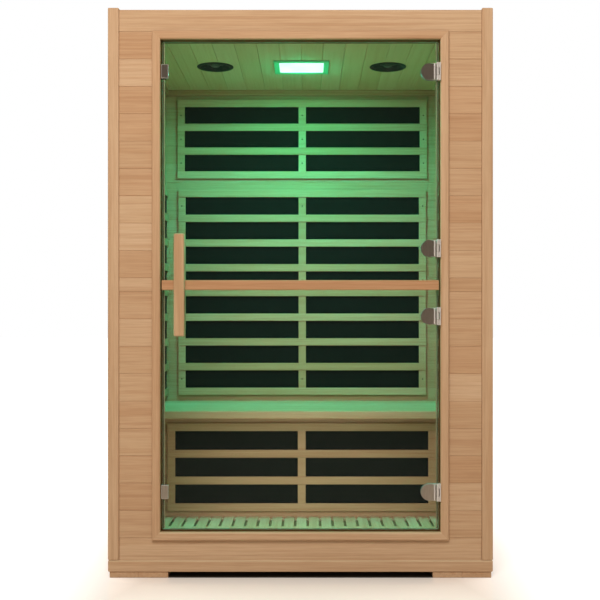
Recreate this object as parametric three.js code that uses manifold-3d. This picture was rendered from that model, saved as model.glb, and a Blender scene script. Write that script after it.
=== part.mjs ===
// Two-person infrared sauna cabin in pale hemlock with a frameless glass door.
// Millimetres, +Z up, the front faces -Y, the origin is the centre of the footprint.
import * as THREE from 'three';
import { mergeVertices } from 'three/addons/utils/BufferGeometryUtils.js';
import Module from 'manifold-3d';

const wasm = await Module();
wasm.setup();

// Driving dimensions of the cabin
const width = 1300;
const height = 1925;
const cabinDepth = 1052;
const wall = 48;
const gap = 0.3;
const groove = 3;

// Base, floor and ceiling levels
const footHeight = 20;
const footWidth = 198;
const plinthTop = 60;
const floorTop = 71;
const ceiling = 1870;
const roofThickness = 20;
const topBoard = 1919;

// Outside boards: a narrow middle board with nine boards above and below
const boardPitch = 92.4;
const boardsEachSide = 9;
const lowestJoint = 135;
const narrowBoard = 46.5;
const post = 37;
const postProud = 4;
const insidePitch = 82;

// Doorway, trim and glass
const doorHalf = 471.5;
const doorBottom = 157.5;
const doorTop = 1817;
const trimWidth = 29;
const trimThickness = 14;
const glassThickness = 8;
const glassHalf = 463.5;
const glassBottom = 167;
const glassTop = 1806;
const glassSetBack = 2;

// Door furniture
const railHeight = 33;
const railThickness = 24;
const railCentre = 988;
const handleWidth = 35;
const handleLength = 342;
const handleThickness = 22;
const handleCentreX = -403;
const innerHandleInset = { x: 6, z: 20 };
const standoff = 26;
const gripThickness = 18;
const handleFoot = { fromEnd: 50, half: 14 };

// Glass hinges, strike clips and magnet catches
const hingeHeights = [1706, 1112, 884, 292];
const hingeX = 461;
const hingeProud = 8;
const hingeHeight = 60;
const knuckleHalf = 12;
const barrelRadius = 6;
const pinRadius = 2.5;
const play = 0.4;
const plate = { thickness: 3, depth: 12, lugHalf: 3 };
const leaf = { height: 56, reach: 61, thickness: 4.5, web: 2.5 };
const fold = { width: 6.5, proud: 3.5, clear: 1 };
const strikeHeights = { upper: 1708, lower: 292 };
const strike = { half: 23, reach: 19, thickness: 2, side: 4 };
const magnet = { width: 15.7, depth: 17.5, clear: 0.5 };

// Bench and heaters, depths measured back from the front face
const backDepth = 1000;
const benchFront = 555;
const benchTop = 507.5;
const benchThickness = 30.5;
const riserDepth = 672;
const riserThickness = 18;
const heaterThickness = 3;
const guardThickness = 9;
const guardBar = 32;
const stileThickness = 6;
const railLap = 1;
const heaterInset = 14;
const guards = {
  upperBack: { half: 547, bottom: 1482, top: 1827.5, rows: 3, columns: 2 },
  lowerBack: { half: 543.5, bottom: 534.5, top: 1432.5, rows: 8, columns: 2 },
  calf: { half: 544.5, bottom: 92, top: 448.5, rows: 3, columns: 2 },
  side: { half: 252, bottom: 534.5, top: 1432.5, rows: 8, columns: 1, depth: 744, stileInset: 140, endInset: 0 },
};

// Places worked out from the driving dimensions
const inside = width / 2 - postProud - wall;
const trimProud = trimThickness - postProud;
const doorReach = trimProud - glassSetBack + railThickness + handleThickness + 2 * gap;
const frontFace = -(cabinDepth + doorReach) / 2 + doorReach;
const boardFace = frontFace + postProud;
const backFace = frontFace + cabinDepth;
const insideFront = boardFace + wall;
const insideBack = frontFace + backDepth;
const trimFront = boardFace - trimThickness;
const glassFront = trimFront + glassSetBack;
const glassBack = glassFront + glassThickness;
const roofTop = ceiling + roofThickness;
const narrowBottom = lowestJoint + boardsEachSide * boardPitch;
const hingeY = trimFront - hingeProud;

// Finishes
const finishes = {
  hemlock: { color: 0xd2ae86, roughness: 0.62, metalness: 0 },
  ceilingWood: { color: 0xd8c49c, roughness: 0.62, metalness: 0 },
  rose: { color: 0xc79a74, roughness: 0.55, metalness: 0 },
  glass: { color: 0x9fb5a4, roughness: 0.05, metalness: 0 },
  nickel: { color: 0xa39b90, roughness: 0.3, metalness: 1 },
  carbon: { color: 0x15181a, roughness: 0.7, metalness: 0 },
  black: { color: 0x1c1d1f, roughness: 0.5, metalness: 0 },
  diffuser: { color: 0xeffff4, roughness: 0.4, metalness: 0 },
  steel: { color: 0xb9bcbe, roughness: 0.45, metalness: 0.8 },
};
const cabin = new THREE.Group();
const axisX = new THREE.Vector3(1, 0, 0);
const axisY = new THREE.Vector3(0, 1, 0);
const axisZ = new THREE.Vector3(0, 0, 1);

// A named piece whose drawing plane is spanned by two world directions
function addPiece(name, finish, geometry, origin = [0, 0, 0], across = axisX, up = axisY) {
  const mesh = new THREE.Mesh(geometry, new THREE.MeshStandardMaterial(finishes[finish]));
  const out = new THREE.Vector3().crossVectors(across, up);
  mesh.name = name;
  mesh.setRotationFromMatrix(new THREE.Matrix4().makeBasis(across, up, out));
  mesh.position.set(...origin);
  cabin.add(mesh);
}

function boxGeometry(x, y, z) {
  const geometry = new THREE.BoxGeometry(x[1] - x[0], y[1] - y[0], z[1] - z[0]);
  return geometry.translate((x[0] + x[1]) / 2, (y[0] + y[1]) / 2, (z[0] + z[1]) / 2);
}

function outline(points) {
  return new THREE.Shape(points.map(([u, v]) => new THREE.Vector2(u, v)));
}

function extrude(shape, depth) {
  return new THREE.ExtrudeGeometry(shape, { depth, bevelEnabled: false });
}

function ordered(a, b) {
  return a < b ? [a, b] : [b, a];
}

function rectangle(u, v) {
  const corners = [[u[0], v[0]], [u[1], v[0]], [u[1], v[1]], [u[0], v[1]]];
  return outline(corners);
}

// Joins and cuts of closed geometries
function solid(geometry) {
  const bare = geometry.clone();
  bare.deleteAttribute('normal');
  bare.deleteAttribute('uv');
  const merged = mergeVertices(bare, 1e-4);
  const vertProperties = new Float32Array(merged.attributes.position.array);
  const triVerts = new Uint32Array(merged.index.array);
  return new wasm.Manifold(new wasm.Mesh({ numProp: 3, vertProperties, triVerts }));
}

function geometryOf(manifold) {
  const mesh = manifold.getMesh();
  const geometry = new THREE.BufferGeometry();
  geometry.setAttribute('position', new THREE.BufferAttribute(new Float32Array(mesh.vertProperties), 3));
  geometry.setIndex(new THREE.BufferAttribute(new Uint32Array(mesh.triVerts), 1));
  geometry.computeVertexNormals();
  return geometry;
}

function join(geometries) {
  return geometryOf(geometries.map(solid).reduce((whole, next) => whole.add(next)));
}

// Section through tongue-and-groove boards, with a V-groove at each joint on both faces
function boardedSection(thickness, bottom, top, outerJoints, innerJoints) {
  const within = (v) => v > bottom + groove && v < top - groove;
  const points = [[0, bottom], [thickness, bottom]];
  for (const v of innerJoints.filter(within)) {
    points.push([thickness, v - groove / 2], [thickness - groove, v], [thickness, v + groove / 2]);
  }
  points.push([thickness, top], [0, top]);
  for (const v of outerJoints.filter(within).reverse()) {
    points.push([0, v + groove / 2], [groove, v], [0, v - groove / 2]);
  }
  return outline(points);
}

const outsideJoints = [];
for (let n = 0; n <= boardsEachSide; n += 1) outsideJoints.push(lowestJoint + n * boardPitch);
for (let n = 0; n <= boardsEachSide; n += 1) {
  outsideJoints.push(narrowBottom + narrowBoard + n * boardPitch);
}
const insideJoints = [];
for (let z = floorTop + insidePitch; z < ceiling; z += insidePitch) insideJoints.push(z);

// Base: two wide feet and the plinth that carries the walls
function addBase() {
  const footInset = 5;
  for (const [side, sign] of [['left', -1], ['right', 1]]) {
    const outer = sign * (width / 2 - footInset);
    const x = ordered(outer, outer - sign * footWidth);
    const y = [frontFace + footInset, backFace - footInset];
    addPiece(`foot_${side}`, 'hemlock', boxGeometry(x, y, [0, footHeight]));
  }
  const plinthZ = [footHeight + gap, plinthTop];
  addPiece('base_plinth', 'hemlock', boxGeometry([-width / 2, width / 2], [frontFace, backFace], plinthZ));
}

// Slatted floor: slats run front to back over cross battens
function addDuckboard() {
  const slatsEachSide = 12;
  const slatPitch = 48.6;
  const slatGap = 10;
  const slatThickness = 5.5;
  const slack = 3;
  const half = inside - slack;
  const y = [insideFront + slack, frontFace + riserDepth - slack];
  const battenWidth = 36;
  const battenDepths = [60, 255, 448, 633];
  const pieces = [];
  for (let n = -slatsEachSide; n <= slatsEachSide; n += 1) {
    const slatHalf = (slatPitch - slatGap) / 2;
    const x = [Math.max(n * slatPitch - slatHalf, -half), Math.min(n * slatPitch + slatHalf, half)];
    pieces.push(boxGeometry(x, y, [floorTop - slatThickness, floorTop]));
  }
  for (const depth of battenDepths) {
    const start = frontFace + depth;
    const z = [plinthTop + gap, floorTop - slatThickness / 2];
    pieces.push(boxGeometry([-half, half], [start, start + battenWidth], z));
  }
  addPiece('duckboard', 'hemlock', join(pieces));
}

// Walls between the posts, with boards outside and inside
function addWalls() {
  const bottom = plinthTop + gap;
  const between = width / 2 - post - gap;
  const besideDoor = between - doorHalf - gap;
  const wallSection = boardedSection(wall, bottom, topBoard, outsideJoints, insideJoints);
  const stile = extrude(wallSection, besideDoor);
  addPiece('front_wall_left', 'hemlock', stile, [-between, boardFace, 0], axisY, axisZ);
  addPiece('front_wall_right', 'hemlock', stile, [doorHalf + gap, boardFace, 0], axisY, axisZ);
  const overDoor = [-doorHalf, boardFace, 0];
  const header = boardedSection(wall, doorTop, topBoard, outsideJoints, insideJoints);
  addPiece('front_header', 'hemlock', extrude(header, 2 * doorHalf), overDoor, axisY, axisZ);
  const sill = boardedSection(wall, bottom, doorBottom, outsideJoints, []);
  addPiece('front_sill', 'hemlock', extrude(sill, 2 * doorHalf), overDoor, axisY, axisZ);

  const sideLength = cabinDepth - 2 * post - 2 * gap;
  const sideStart = frontFace + post + gap;
  const sideWall = trimCorners(extrude(wallSection, sideLength), sideLength);
  const outerX = width / 2 - postProud;
  const inward = axisX.clone().negate();
  addPiece('side_wall_left', 'hemlock', sideWall, [-outerX, sideStart + sideLength, 0], axisX, axisZ);
  addPiece('side_wall_right', 'hemlock', sideWall, [outerX, sideStart, 0], inward, axisZ);

  const backWall = extrude(wallSection, 2 * between);
  const forward = axisY.clone().negate();
  addPiece('back_wall', 'hemlock', backWall, [between, backFace - postProud, 0], forward, axisZ);
}

// The side walls stop short of the front and back walls inside the corner
function trimCorners(sideWall, length) {
  const corner = wall + postProud - post + gap;
  const acrossWall = [post - postProud - gap, wall + 1];
  const upWall = [plinthTop - 1, height];
  const frontEnd = solid(boxGeometry(acrossWall, upWall, [-1, corner]));
  const backEnd = solid(boxGeometry(acrossWall, upWall, [length - corner, length + 1]));
  return geometryOf(solid(sideWall).subtract(frontEnd).subtract(backEnd));
}

// Corner posts stand on the plinth and rise a little above the top board
function addPosts() {
  const z = [plinthTop + gap, height];
  for (const [side, sign] of [['left', -1], ['right', 1]]) {
    const x = ordered(sign * (width / 2), sign * (width / 2 - post));
    addPiece(`post_front_${side}`, 'hemlock', boxGeometry(x, [frontFace, frontFace + post], z));
    addPiece(`post_back_${side}`, 'hemlock', boxGeometry(x, [backFace - post, backFace], z));
  }
}

// Ceiling boards run front to back, with a small cornice where they meet the walls
function addRoof() {
  const half = inside - gap;
  const points = [[-half, ceiling]];
  const ceilingPitch = 81;
  const jointsEachSide = 7;
  for (let n = -jointsEachSide; n <= jointsEachSide; n += 1) {
    const x = n * ceilingPitch;
    points.push([x - groove / 2, ceiling], [x, ceiling + groove], [x + groove / 2, ceiling]);
  }
  points.push([half, ceiling], [half, roofTop], [-half, roofTop]);
  const roof = extrude(outline(points), insideBack - insideFront - 2 * gap);
  roof.translate(0, 0, gap - insideBack);
  const cut = fittingHoles().reduce((whole, hole) => whole.subtract(solid(hole)), solid(roof));
  addPiece('roof_panel', 'ceilingWood', geometryOf(cut), [0, 0, 0], axisX, axisZ);

  const corniceHeight = 23;
  const corniceDepth = 14;
  const z = [ceiling - corniceHeight, ceiling - gap];
  const backStrip = [insideBack - gap - corniceDepth, insideBack - gap];
  addPiece('cornice_back', 'hemlock', boxGeometry([-inside + gap, inside - gap], backStrip, z));
  const sideRun = [insideFront + gap, backStrip[0] - gap];
  const left = [-inside + gap, -inside + gap + corniceDepth];
  addPiece('cornice_left', 'hemlock', boxGeometry(left, sideRun, z));
  addPiece('cornice_right', 'hemlock', boxGeometry([-left[1], -left[0]], sideRun, z));
}

// Speakers and the colour light sit in holes in the ceiling
const fittingY = frontFace + 580;
const speakerX = 342;
const speakerRadius = 72;
const speakerHole = 62;
const lightHalf = { x: 108, y: 100 };
const lensHalf = { x: 87, y: 80 };
const lensRoom = 2;

function fittingHoles() {
  const round = (x) => {
    const hole = new THREE.CylinderGeometry(speakerHole, speakerHole, 2 * roofThickness, 32);
    return hole.translate(x, ceiling, -fittingY);
  };
  const size = { x: 2 * (lensHalf.x + lensRoom), y: 2 * (lensHalf.y + lensRoom) };
  const square = new THREE.BoxGeometry(size.x, 2 * roofThickness, size.y);
  square.translate(0, ceiling + roofThickness / 2, -fittingY);
  return [round(-speakerX), round(speakerX), square];
}

// Half section of a speaker: cap, cone, raised rim, basket and magnet
function addSpeakers() {
  const basket = { radius: speakerHole - 1, height: 18 };
  const backMagnet = { radius: 30, height: 34 };
  const cap = [[0, 4], [14, 4], [20, 10]];
  const cone = [[44, 14], [56, -2]];
  const rim = [[60, -5], [66, -5], [speakerRadius, -2], [speakerRadius, -gap]];
  const back = [
    [basket.radius, -gap], [basket.radius, basket.height],
    [backMagnet.radius, backMagnet.height], [0, backMagnet.height],
  ];
  const points = [...cap, ...cone, ...rim, ...back].map(([r, y]) => new THREE.Vector2(r, y));
  for (const [side, sign] of [['left', -1], ['right', 1]]) {
    const driver = new THREE.LatheGeometry(points, 36);
    addPiece(`${side}_speaker`, 'black', driver, [sign * speakerX, fittingY, ceiling], axisX, axisZ);
  }
}

function addLight() {
  const frameThickness = 6;
  const lensBelow = 4;
  const lensAbove = 8;
  const span = (half, margin) => [-half + margin, half - margin];
  const board = boxGeometry(span(lightHalf.x, 0), span(lightHalf.y, 0), [-frameThickness, 0]);
  const window = boxGeometry(span(lensHalf.x, 0), span(lensHalf.y, 0), [-frameThickness - 1, 1]);
  const frame = geometryOf(solid(board).subtract(solid(window)));
  addPiece('light_frame', 'diffuser', frame, [0, fittingY, ceiling - gap]);
  const lens = boxGeometry(span(lensHalf.x, gap), span(lensHalf.y, gap), [-lensBelow, lensAbove]);
  addPiece('light_diffuser', 'diffuser', lens, [0, fittingY, ceiling]);
}

// Mitred trim round the doorway
function addTrim() {
  const outerX = doorHalf + trimWidth;
  const low = doorBottom - trimWidth;
  const high = doorTop + trimWidth;
  const flat = outerX - gap;
  const upright = (sign) => [
    [sign * outerX, low + gap], [sign * outerX, high - gap],
    [sign * doorHalf, doorTop - gap], [sign * doorHalf, doorBottom + gap],
  ];
  const strips = {
    door_trim_bottom: [[-flat, low], [flat, low], [doorHalf, doorBottom], [-doorHalf, doorBottom]],
    door_trim_top: [[-doorHalf, doorTop], [doorHalf, doorTop], [flat, high], [-flat, high]],
    door_trim_left: upright(-1).reverse(),
    door_trim_right: upright(1),
  };
  for (const [name, points] of Object.entries(strips)) {
    const strip = extrude(outline(points), trimThickness - gap);
    addPiece(name, 'hemlock', strip, [0, boardFace - gap, 0], axisX, axisZ);
  }
}

// A wooden guard: upright stiles with cross rails lapped over their front
function guardGeometry({ half, bottom, top, rows, columns, stileInset = 0 }) {
  const firstStile = stileInset - half;
  const columnPitch = (-2 * firstStile - guardBar) / columns;
  const rowPitch = (top - bottom - guardBar) / rows;
  const bars = [];
  for (let column = 0; column <= columns; column += 1) {
    const u = firstStile + column * columnPitch;
    bars.push(boxGeometry([u, u + guardBar], [bottom, top], [0, stileThickness]));
  }
  for (let row = 0; row <= rows; row += 1) {
    const v = bottom + row * rowPitch;
    bars.push(boxGeometry([-half, half], [v, v + guardBar], [stileThickness - railLap, guardThickness]));
  }
  return join(bars);
}

// A carbon heater panel fixed to the wall with its guard in front
function addHeater(name, guard, wallPoint, across) {
  const out = new THREE.Vector3().crossVectors(across, axisZ);
  const start = new THREE.Vector3(...wallPoint).addScaledVector(out, gap);
  const { half, endInset = heaterInset } = guard;
  const u = [endInset - half, half - endInset];
  const panel = rectangle(u, [guard.bottom + heaterInset, guard.top - heaterInset]);
  addPiece(`${name}_heater`, 'carbon', extrude(panel, heaterThickness), start.toArray(), across, axisZ);
  start.addScaledVector(out, heaterThickness + gap);
  addPiece(`${name}_guard`, 'hemlock', guardGeometry(guard), start.toArray(), across, axisZ);
}

function addHeaters() {
  const sideY = frontFace + guards.side.depth;
  addHeater('upper_back', guards.upperBack, [0, insideBack, 0], axisX);
  addHeater('lower_back', guards.lowerBack, [0, insideBack, 0], axisX);
  addHeater('calf', guards.calf, [0, frontFace + riserDepth, 0], axisX);
  addHeater('left', guards.side, [-inside, sideY, 0], axisY);
  addHeater('right', guards.side, [inside, sideY, 0], axisY.clone().negate());
}

// Bench board on a riser panel at the front and a ledger on the back wall
function addBench() {
  const slack = 1;
  const x = [slack - inside, inside - slack];
  const riserFront = frontFace + riserDepth;
  const underside = benchTop - benchThickness;
  const seat = boxGeometry(x, [frontFace + benchFront, insideBack - slack], [underside, benchTop]);
  addPiece('bench_seat', 'hemlock', seat);
  const riserZ = [plinthTop + gap, underside - gap];
  addPiece('bench_riser', 'hemlock', boxGeometry(x, [riserFront, riserFront + riserThickness], riserZ));
  const ledgerHeight = 45;
  const ledgerDepth = 32;
  const ledgerY = [insideBack - gap - ledgerDepth, insideBack - gap];
  const ledgerZ = [underside - gap - ledgerHeight, underside - gap];
  addPiece('bench_ledger', 'hemlock', boxGeometry(x, ledgerY, ledgerZ));
}

// Controls inside beside the door, and the power unit in the recess on the roof
function addControls() {
  const panel = { half: 42, bottom: 1250, height: 170, thickness: 12 };
  const panelX = -(doorHalf + inside) / 2;
  const face = rectangle([-panel.half, panel.half], [panel.bottom, panel.bottom + panel.height]);
  const back = axisX.clone().negate();
  const panelAt = [panelX, insideFront + gap, 0];
  addPiece('control_panel', 'black', extrude(face, panel.thickness), panelAt, back, axisZ);

  const unit = { half: 160, depth: 220, fromBack: 60, height: 34 };
  const unitBack = insideBack - unit.fromBack;
  const unitY = [unitBack - unit.depth, unitBack];
  const unitZ = [roofTop + gap, roofTop + unit.height];
  addPiece('power_unit', 'steel', boxGeometry([-unit.half, unit.half], unitY, unitZ));
  const inlet = { x: 90, frontRadius: 13, backRadius: 11, length: 30 };
  const gland = new THREE.CylinderGeometry(inlet.backRadius, inlet.frontRadius, inlet.length, 16);
  const inletY = unitBack + gap + inlet.length / 2;
  addPiece('power_inlet', 'black', gland, [inlet.x, inletY, roofTop + unit.height / 2]);
}

// Frameless glass leaf with its rail and its two handles
function addDoor() {
  const pane = boxGeometry([-glassHalf, glassHalf], [glassFront, glassBack], [glassBottom, glassTop]);
  addPiece('door_glass', 'glass', pane);
  const railFront = glassFront - gap - railThickness;
  const railZ = [railCentre - railHeight / 2, railCentre + railHeight / 2];
  const rail = boxGeometry([-glassHalf, glassHalf], [railFront, glassFront - gap], railZ);
  addPiece('door_rail', 'rose', rail);
  const x = [handleCentreX - handleWidth / 2, handleCentreX + handleWidth / 2];
  const z = [railCentre - handleLength / 2, railCentre + handleLength / 2];
  const handle = boxGeometry(x, [railFront - gap - handleThickness, railFront - gap], z);
  addPiece('door_handle', 'rose', handle);

  const innerX = [x[0] + innerHandleInset.x, x[1] - innerHandleInset.x];
  const gripY = [glassBack + standoff, glassBack + standoff + gripThickness];
  const grip = boxGeometry(innerX, gripY, [z[0] + innerHandleInset.z, z[1] - innerHandleInset.z]);
  const foot = (centre) => {
    const span = [centre - handleFoot.half, centre + handleFoot.half];
    return boxGeometry(innerX, [glassBack + gap, gripY[0] + 1], span);
  };
  const inner = join([grip, foot(z[0] + handleFoot.fromEnd), foot(z[1] - handleFoot.fromEnd)]);
  addPiece('inner_door_handle', 'rose', inner);
}

// A standing cylinder on the hinge axis
function onHingeAxis(radius, [bottom, top]) {
  const barrel = new THREE.CylinderGeometry(radius, radius, top - bottom, 24);
  return solid(barrel.rotateX(Math.PI / 2).translate(hingeX, hingeY, (top + bottom) / 2));
}

// Frame side of a glass hinge: a plate on the jamb, two end knuckles and the pin
function addHingeFrame(name, centre) {
  const half = hingeHeight / 2;
  const plateX = [doorHalf - gap - plate.thickness, doorHalf - gap];
  const tall = [centre - half, centre + half];
  const middle = [centre - knuckleHalf - gap, centre + knuckleHalf + gap];
  let frame = solid(boxGeometry(plateX, [hingeY, trimFront + plate.depth], tall));
  for (const end of [[tall[0], middle[0]], [middle[1], tall[1]]]) {
    const lug = boxGeometry([hingeX, plateX[1]], [hingeY - plate.lugHalf, hingeY + plate.lugHalf], end);
    frame = frame.add(onHingeAxis(barrelRadius, end)).add(solid(lug));
  }
  const room = boxGeometry([hingeX, doorHalf], [hingeY - 1, hingeY + barrelRadius + 1], middle);
  frame = frame.subtract(solid(room)).add(onHingeAxis(pinRadius, [tall[0] + 1, tall[1] - 1]));
  addPiece(name, 'nickel', geometryOf(frame));
}

// Door side: two half-round leaves over the glass edge, a raised fold and the middle knuckle
function addHingeClamp(name, centre) {
  const round = leaf.height / 2;
  const shape = new THREE.Shape();
  shape.moveTo(0, -round);
  shape.lineTo(0, round);
  shape.absarc(round - leaf.reach, 0, round, Math.PI / 2, 1.5 * Math.PI, false);
  const edge = glassHalf + gap;
  const cheek = (y) => {
    const flat = extrude(shape, leaf.thickness).rotateX(Math.PI / 2);
    return solid(flat.translate(edge + leaf.web, y, centre));
  };
  const z = [centre - round, centre + round];
  const bridge = boxGeometry([edge, edge + leaf.web], [glassFront - gap - 1, glassBack + gap + 1], z);
  const foldX = hingeX - barrelRadius - fold.clear;
  const foldY = glassFront - gap - leaf.thickness - fold.proud;
  const rib = boxGeometry([foldX - fold.width, foldX], [foldY, glassFront - gap - 1], z);
  const knuckle = [centre - knuckleHalf, centre + knuckleHalf];
  const clamp = cheek(glassFront - gap)
    .add(cheek(glassBack + gap + leaf.thickness))
    .add(solid(bridge))
    .add(solid(rib))
    .subtract(onHingeAxis(barrelRadius + play, [knuckle[1], centre + hingeHeight]))
    .subtract(onHingeAxis(barrelRadius + play, [centre - hingeHeight, knuckle[0]]))
    .add(onHingeAxis(barrelRadius, knuckle))
    .subtract(onHingeAxis(pinRadius + play, [knuckle[0] - 1, knuckle[1] + 1]));
  addPiece(name, 'nickel', geometryOf(clamp));
}

// Magnet catches on the jamb and the strike clips on the free edge of the glass
function addCatches() {
  const edge = -glassHalf - gap;
  const frontY = glassFront - gap;
  const backY = glassBack + gap;
  for (const [level, centre] of Object.entries(strikeHeights)) {
    const z = [centre - strike.half, centre + strike.half];
    const x = [edge - strike.side, edge + strike.reach];
    const front = boxGeometry(x, [frontY - strike.thickness, frontY], z);
    const back = boxGeometry(x, [backY, backY + strike.thickness], z);
    const side = boxGeometry([edge - strike.side, edge], [frontY - 1, backY + 1], z);
    addPiece(`${level}_strike`, 'nickel', join([front, side, back]));
    const magnetY = backY + strike.thickness + magnet.clear;
    const magnetX = [gap - doorHalf, gap - doorHalf + magnet.width];
    addPiece(`${level}_magnet`, 'black', boxGeometry(magnetX, [magnetY, magnetY + magnet.depth], z));
  }
}

addBase();
addDuckboard();
addWalls();
addPosts();
addRoof();
addSpeakers();
addLight();
addTrim();
addHeaters();
addBench();
addControls();
addDoor();
hingeHeights.forEach((centre, index) => {
  addHingeFrame(`hinge_${index + 1}_frame`, centre);
  addHingeClamp(`hinge_${index + 1}_clamp`, centre);
});
addCatches();

export default cabin;
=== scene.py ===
# %% [markdown]
# An infrared sauna cabin, dressed in Blender.
# The imported model gives every piece its place and size in metres, so nothing here is fitted by eye.
# The box of the bare model is kept, and later sets where the studio floor is lifted to white.

# %% Load the frame
import math

import bmesh
import bpy
from mathutils import Matrix, Vector


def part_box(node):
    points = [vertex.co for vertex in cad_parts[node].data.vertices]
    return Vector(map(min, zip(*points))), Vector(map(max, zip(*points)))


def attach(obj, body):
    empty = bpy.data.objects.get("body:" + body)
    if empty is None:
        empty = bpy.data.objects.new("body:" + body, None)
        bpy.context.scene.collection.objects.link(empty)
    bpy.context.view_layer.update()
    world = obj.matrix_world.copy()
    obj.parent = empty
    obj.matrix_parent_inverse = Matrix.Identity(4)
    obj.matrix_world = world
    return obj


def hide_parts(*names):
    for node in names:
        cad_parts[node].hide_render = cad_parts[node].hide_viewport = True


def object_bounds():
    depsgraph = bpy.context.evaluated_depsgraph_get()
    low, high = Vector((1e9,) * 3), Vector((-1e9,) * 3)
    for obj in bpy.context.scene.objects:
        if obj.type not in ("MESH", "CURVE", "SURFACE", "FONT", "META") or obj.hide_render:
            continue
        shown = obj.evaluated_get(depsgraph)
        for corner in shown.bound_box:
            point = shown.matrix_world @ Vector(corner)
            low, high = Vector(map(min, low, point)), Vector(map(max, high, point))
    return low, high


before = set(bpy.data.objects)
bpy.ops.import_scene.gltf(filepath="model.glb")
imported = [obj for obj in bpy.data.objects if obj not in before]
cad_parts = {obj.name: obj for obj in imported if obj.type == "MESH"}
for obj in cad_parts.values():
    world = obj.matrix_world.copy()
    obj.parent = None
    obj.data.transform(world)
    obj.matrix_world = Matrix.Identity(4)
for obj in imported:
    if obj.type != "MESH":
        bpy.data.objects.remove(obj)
cad_box = [list(corner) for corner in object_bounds()]
MM = 0.001
scene = bpy.context.scene
print("cabin box in metres:", cad_box)

# %% [markdown]
# The photograph was taken straight on, so the camera looks along +Y and stays level.
# A level camera keeps the posts upright, and a small lens shift places the cabin in the picture
# the way tilting would, without the posts leaning in.

# %% Camera
IMAGE = 600
FOCAL_PIXELS = 983
AXIS_PIXEL = (308.4, 312.0)
CAMERA_DISTANCE = 3316 * MM
CAMERA_HEIGHT = 898 * MM
CAMERA_RIGHT = 27 * MM
front_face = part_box("post_front_left")[0].y

camera = bpy.data.objects.new("camera", bpy.data.cameras.new("camera"))
scene.collection.objects.link(camera)
camera.location = (CAMERA_RIGHT, front_face - CAMERA_DISTANCE, CAMERA_HEIGHT)
camera.rotation_euler = (math.radians(90), 0, 0)
camera.data.sensor_width = 36
camera.data.lens = FOCAL_PIXELS / IMAGE * camera.data.sensor_width
camera.data.shift_x = (IMAGE / 2 - AXIS_PIXEL[0]) / IMAGE
camera.data.shift_y = (AXIS_PIXEL[1] - IMAGE / 2) / IMAGE
scene.camera = camera
scene.view_settings.view_transform = "Standard"
print("lens in mm:", round(camera.data.lens, 2))

# %% [markdown]
# A few helpers carry all the materials. One turns an sRGB hex colour into the linear numbers that
# a shader works with. One adds a node, sets its values and links its inputs in a single line.
# The last two colour a pattern with a ramp and lay it over a colour as a darker shade.

# %% Material helpers
MIX_A, MIX_B, MIX_OUT = 6, 7, 2


def linear(hex_colour):
    channels = [int(hex_colour[k:k + 2], 16) / 255 for k in (1, 3, 5)]
    bent = [c / 12.92 if c <= 0.04045 else ((c + 0.055) / 1.055) ** 2.4 for c in channels]
    return (*bent, 1.0)


def node(tree, kind, values=None, links=None, **settings):
    made = tree.nodes.new(kind)
    for name, value in settings.items():
        setattr(made, name, value)
    for socket, value in (values or {}).items():
        made.inputs[socket].default_value = value
    for socket, source in (links or {}).items():
        tree.links.new(source, made.inputs[socket])
    return made


def new_material(name, **constants):
    material = bpy.data.materials.new(name)
    material.use_nodes = True
    tree = material.node_tree
    shader = tree.nodes["Principled BSDF"]
    for socket, value in constants.items():
        shader.inputs[socket.replace("_", " ")].default_value = value
    return material, tree, shader


def ramp(tree, factor, stops):
    made = node(tree, "ShaderNodeValToRGB", links={"Fac": factor})
    elements = made.color_ramp.elements
    while len(elements) < len(stops):
        elements.new(1.0)
    for element, (place, colour) in zip(elements, stops):
        element.position = place
        element.color = linear(colour)
    return made.outputs["Color"]


def shade(tree, colour, over, amount):
    made = node(tree, "ShaderNodeMix", {0: amount}, {MIX_A: colour, MIX_B: over},
                data_type="RGBA", blend_type="MULTIPLY")
    return made.outputs[MIX_OUT]


# %% [markdown]
# Canadian hemlock is a pale, nearly knot-free softwood. It is planed and left bare in a sauna,
# so the eye sees soft growth bands, fine fibres along the board, and boards that differ in tone.
# Each board is a loose island of its mesh, and the island's random number shifts the tone and the
# place in the pattern. The pattern is stretched along the grain by scaling the coordinates.
# The fibres are drawn a little coarser than real ones, so that they show in the picture.

# %% Hemlock
BAND_MM, BAND_RUN_MM = 15, 900
FIBRE_MM, FIBRE_RUN_MM = 2.2, 90
CLOUD_MM, CLOUD_RUN_MM = 260, 780
PATTERN_JUMP = 41.0
BAND_STRENGTH, FIBRE_STRENGTH, CLOUD_STRENGTH = 0.42, 0.28, 0.4
AXES = {"x": 0, "y": 1, "z": 2}
BOARD_TONES = ["#CCA782", "#D2B08C", "#C8A27D", "#D5B491", "#CFAB87", "#CAA37E"]


def stretched(tree, place, grain, along_mm, across_mm):
    scale = [1000 / across_mm] * 3
    scale[AXES[grain]] = 1000 / along_mm
    return node(tree, "ShaderNodeMapping", {"Scale": scale}, {"Vector": place}).outputs["Vector"]


def board_luck(tree, place, board_mm):
    if not board_mm:
        return node(tree, "ShaderNodeNewGeometry").outputs["Random Per Island"]
    split = node(tree, "ShaderNodeSeparateXYZ", links={"Vector": place})
    steps = node(tree, "ShaderNodeMath", {1: board_mm * MM}, {0: split.outputs["X"]}, operation="DIVIDE")
    board = node(tree, "ShaderNodeMath", links={0: steps.outputs[0]}, operation="FLOOR")
    return node(tree, "ShaderNodeTexWhiteNoise", links={"W": board.outputs[0]},
                noise_dimensions="1D").outputs["Value"]


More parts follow.
